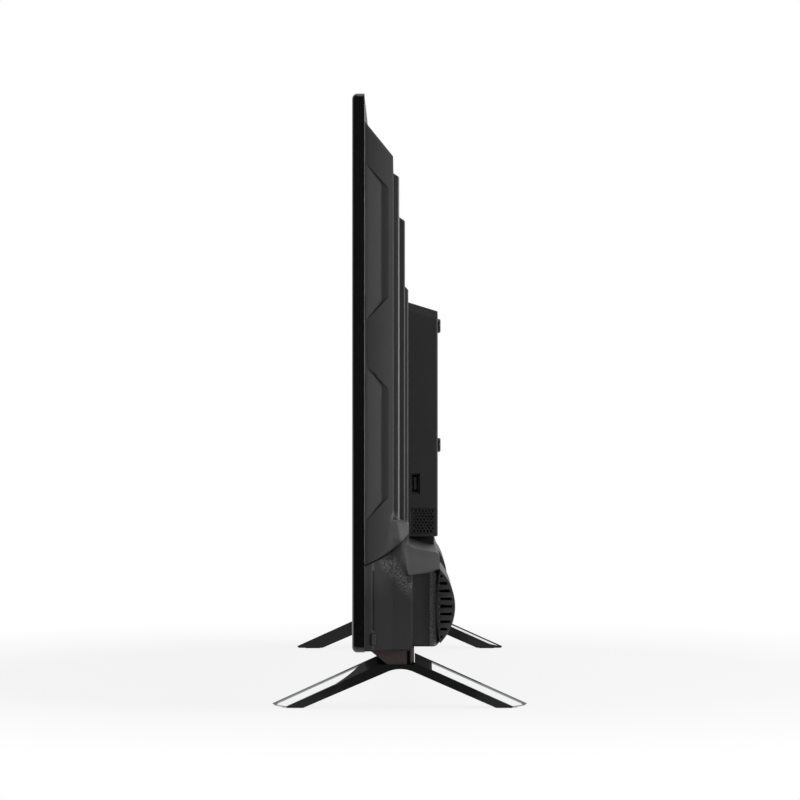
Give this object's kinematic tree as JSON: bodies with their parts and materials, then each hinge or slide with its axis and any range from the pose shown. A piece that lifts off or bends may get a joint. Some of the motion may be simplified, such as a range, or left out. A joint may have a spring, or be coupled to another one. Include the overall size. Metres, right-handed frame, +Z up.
{
  "type": "flat screen television",
  "caption": "Slim flat screen television with a stepped rear cover, a boxed electronics bay, side-slotted speaker bulges and inverted-V feet with bright tops.",
  "frame": {"origin": "on the table, under the middle of the screen, midway between the front and back foot tips", "axes": "+X to the viewer's right across the screen, the screen faces -Y, +Z up"},
  "size_m": [0.716, 0.1984, 0.4708],
  "materials": {
    "bezel_gloss": "polished black moulding",
    "screen": "dark polarised glass",
    "film": "milky white sheet",
    "steel": "zinc-coated pressed steel",
    "aluminium": "plain aluminium board",
    "lens": "clear moulded lens",
    "cover": "fine-textured charcoal moulding",
    "cover_low": "fine-textured charcoal moulding",
    "cover_box": "fine-textured charcoal moulding",
    "vent": "perforated charcoal moulding",
    "standoff": "blackened steel",
    "window": "smoked window",
    "board": "green solder resist",
    "board_tan": "tan paper board",
    "parts": "moulded parts and cans",
    "ribbon": "flat cable",
    "screw_steel": "bright screw",
    "screw_black": "blackened screw",
    "socket_metal": "tinned socket shell",
    "socket_black": "blackened socket shell",
    "inlet": "black moulding",
    "pins": "plated contact pin",
    "grille": "fine-textured black moulding",
    "speaker_case": "black moulding",
    "cone": "pressed paper cone in a black frame",
    "foot_gloss": "polished black",
    "trim": "bright trim",
    "neck": "dark moulding",
    "rubber": "soft black pad",
    "key": "satin black key"
  },
  "bodies": {
    "cabinet": {"front_bezel": "bezel_gloss", "screen_panel": "screen", "optical_films": "film", "diffuser_plate": "film", "backlight_chassis": "steel", "reflector_sheet": "film", "led_strips": "aluminium", "led_lenses": "lens", "rear_cover": "cover", "lower_rear_cover": "cover_low", "electronics_cover": "cover_box", "vent_patches": "vent", "mount_standoffs": "standoff", "sensor_window": "window", "sensor_board": "board", "main_board": "board", "main_board_parts": "parts", "power_board": "board_tan", "power_board_parts": "parts", "timing_board": "board", "display_cable": "ribbon", "board_posts": "steel", "board_screws": "screw_steel", "side_socket": "socket_black", "down_sockets": "socket_metal", "socket_plate": "steel", "mains_inlet": "inlet", "inlet_pins": "pins", "speaker_grille_right": "grille", "speaker_grille_left": "grille", "speaker_box_right": "speaker_case", "speaker_box_left": "speaker_case", "speaker_driver_right": "cone", "speaker_driver_left": "cone", "foot_right": "foot_gloss", "foot_left": "foot_gloss", "foot_trims_right": "trim", "foot_trims_left": "trim", "foot_neck_right": "neck", "foot_neck_left": "neck", "foot_bracket_right": "steel", "foot_bracket_left": "steel", "foot_pads_right": "rubber", "foot_pads_left": "rubber", "foot_screws": "screw_black", "key_board": "board", "key_switch": "parts", "cover_screws": "screw_black", "box_screws": "screw_black"},
    "key": {"power_key": "key"}
  },
  "joints": [
    {"name": "power_key_press", "type": "slide", "parent": "cabinet", "child": "key", "axis": [-1, 0, 0], "range_m": [0, 0.0008], "stiffness_N_per_m": 2000}
  ]
}
